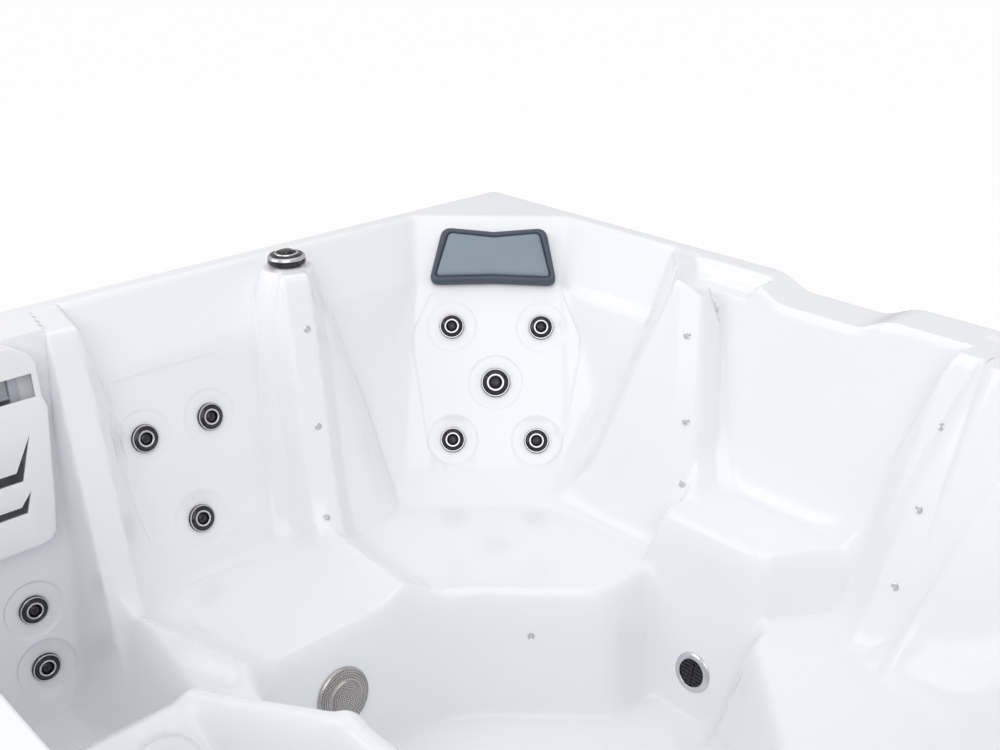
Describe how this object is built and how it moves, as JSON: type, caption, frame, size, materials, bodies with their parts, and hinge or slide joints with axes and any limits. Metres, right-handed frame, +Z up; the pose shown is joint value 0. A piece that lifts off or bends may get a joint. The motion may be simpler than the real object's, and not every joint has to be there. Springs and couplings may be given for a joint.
{
  "type": "hot tub",
  "caption": "Square acrylic hot tub with corner and side seats, a lounger, an entry step, jets, pillows, a skimmer, lights, cabinet panels and equipment.",
  "frame": {"origin": "centre of the flat underside of the base pan, on the floor", "axes": "+Z up, +Y toward the side with the side seat and skimmer, +X toward the entry step side; the pillowed corner seat is at +X +Y"},
  "size_m": [2.2, 2.2, 0.9607],
  "materials": {
    "acrylic": "glossy white acrylic",
    "dark_moulding": "dark grey satin moulding",
    "grey_moulding": "light grey satin moulding",
    "black_moulding": "glossy black moulding",
    "white_pipe": "white pipe",
    "steel": "satin stainless steel",
    "pillow_rim": "slate grey foam with a skin",
    "pillow_face": "blue grey foam with a skin",
    "cabinet": "grained dark grey board",
    "filter": "white pleated filter fabric",
    "lens": "clear lens",
    "motor": "black painted",
    "board": "insulating board"
  },
  "bodies": {
    "tub": {"acrylic_shell": "acrylic", "air_blower": "dark_moulding", "base_pan": "black_moulding", "calf_jet_bodies": "grey_moulding", "circulation_pump": "motor", "control_box": "grey_moulding", "control_panel": "black_moulding", "corner_jet_bodies": "grey_moulding", "corner_pillow_frame": "pillow_rim", "corner_pillow_pad": "pillow_face", "diverter_valve": "dark_moulding", "drain_fitting": "dark_moulding", "east_light_string": "lens", "entry_light_string": "lens", "filter_cartridge": "filter", "foot_jet_bodies": "grey_moulding", "footwell_light": "lens", "footwell_support": "board", "front_left_cover": "dark_moulding", "front_panel": "cabinet", "front_right_cover": "dark_moulding", "heater_tube": "steel", "left_panel": "cabinet", "lounger_jet_bodies": "dark_moulding", "lounger_pillow_frame": "pillow_rim", "lounger_pillow_pad": "pillow_face", "north_light_string": "lens", "pump_motor": "motor", "pump_wet_end": "black_moulding", "rear_left_cover": "dark_moulding", "rear_panel": "cabinet", "rear_right_cover": "dark_moulding", "right_panel": "cabinet", "side_jet_bodies": "grey_moulding", "skimmer_bucket": "dark_moulding", "skimmer_front": "acrylic", "south_east_jet_bodies": "dark_moulding", "south_jet_bodies": "dark_moulding", "suction_cover": "steel", "suction_pipe": "white_pipe", "supply_pipe": "white_pipe", "support_frame": "steel"},
    "calf_jet_face": {"calf_jet_face": "black_moulding"},
    "corner_jet_face_1": {"corner_jet_face_1": "black_moulding"},
    "corner_jet_face_2": {"corner_jet_face_2": "black_moulding"},
    "corner_jet_face_3": {"corner_jet_face_3": "black_moulding"},
    "corner_jet_face_4": {"corner_jet_face_4": "black_moulding"},
    "corner_jet_face_5": {"corner_jet_face_5": "black_moulding"},
    "foot_jet_face_1": {"foot_jet_face_1": "black_moulding"},
    "foot_jet_face_2": {"foot_jet_face_2": "black_moulding"},
    "side_jet_face_1": {"side_jet_face_1": "black_moulding"},
    "side_jet_face_2": {"side_jet_face_2": "black_moulding"},
    "side_jet_face_3": {"side_jet_face_3": "black_moulding"},
    "diverter_knob": {"diverter_knob": "black_moulding"},
    "weir_door": {"weir_door": "dark_moulding"},
    "jets_button": {"jets_button": "grey_moulding"},
    "light_button": {"light_button": "grey_moulding"}
  },
  "joints": [
    {"name": "calf_jet_face_turn", "type": "hinge", "parent": "tub", "child": "calf_jet_face", "pos_m": [-0.45, 0.19, 0.45227], "axis": [0, -0.7465, 0.6654], "range_deg": [0, 90]},
    {"name": "corner_jet_face_1_turn", "type": "hinge", "parent": "tub", "child": "corner_jet_face_1", "pos_m": [0.72793, 0.85521, 0.702], "axis": [-0.6124, -0.6124, 0.5], "range_deg": [0, 90]},
    {"name": "corner_jet_face_2_turn", "type": "hinge", "parent": "tub", "child": "corner_jet_face_2", "pos_m": [0.63301, 0.74898, 0.45985], "axis": [-0.586, -0.586, 0.5596], "range_deg": [0, 90]},
    {"name": "corner_jet_face_3_turn", "type": "hinge", "parent": "tub", "child": "corner_jet_face_3", "pos_m": [0.75672, 0.72844, 0.582], "axis": [-0.6124, -0.6124, 0.5], "range_deg": [0, 90]},
    {"name": "corner_jet_face_4_turn", "type": "hinge", "parent": "tub", "child": "corner_jet_face_4", "pos_m": [0.77726, 0.60473, 0.45985], "axis": [-0.586, -0.586, 0.5596], "range_deg": [0, 90]},
    {"name": "corner_jet_face_5_turn", "type": "hinge", "parent": "tub", "child": "corner_jet_face_5", "pos_m": [0.88349, 0.69964, 0.702], "axis": [-0.6124, -0.6124, 0.5], "range_deg": [0, 90]},
    {"name": "foot_jet_face_1_turn", "type": "hinge", "parent": "tub", "child": "foot_jet_face_1", "pos_m": [-0.37, 0.90451, 0.36411], "axis": [0, -0.9962, 0.0872], "range_deg": [0, 90]},
    {"name": "foot_jet_face_2_turn", "type": "hinge", "parent": "tub", "child": "foot_jet_face_2", "pos_m": [-0.37, 0.8922, 0.22899], "axis": [0, -0.9952, 0.0975], "range_deg": [0, 90]},
    {"name": "side_jet_face_1_turn", "type": "hinge", "parent": "tub", "child": "side_jet_face_1", "pos_m": [-0.078, 0.9178, 0.64749], "axis": [0, -0.9613, 0.2756], "range_deg": [0, 90]},
    {"name": "side_jet_face_2_turn", "type": "hinge", "parent": "tub", "child": "side_jet_face_2", "pos_m": [0, 0.85888, 0.44871], "axis": [0, -0.9455, 0.3255], "range_deg": [0, 90]},
    {"name": "side_jet_face_3_turn", "type": "hinge", "parent": "tub", "child": "side_jet_face_3", "pos_m": [0.078, 0.9178, 0.64749], "axis": [0, -0.9613, 0.2756], "range_deg": [0, 90]},
    {"name": "diverter_knob_turn", "type": "hinge", "parent": "tub", "child": "diverter_knob", "pos_m": [0.335, 0.965, 0.92736], "axis": [0, 0, 1], "range_deg": [0, 180]},
    {"name": "weir_door_swing", "type": "hinge", "parent": "tub", "child": "weir_door", "pos_m": [-0.44, 0.9442, 0.81206], "axis": [-1, 0, 0], "range_deg": [0, 80], "stiffness_Nm_per_rad": 0.05, "springref_deg": -5.73},
    {"name": "jets_button_press", "type": "slide", "parent": "tub", "child": "jets_button", "axis": [0, 0, -1], "range_m": [0, 0.002], "stiffness_N_per_m": 300, "springref_m": -0.0005},
    {"name": "light_button_press", "type": "slide", "parent": "tub", "child": "light_button", "axis": [0, 0, -1], "range_m": [0, 0.002], "stiffness_N_per_m": 300, "springref_m": -0.0005}
  ]
}
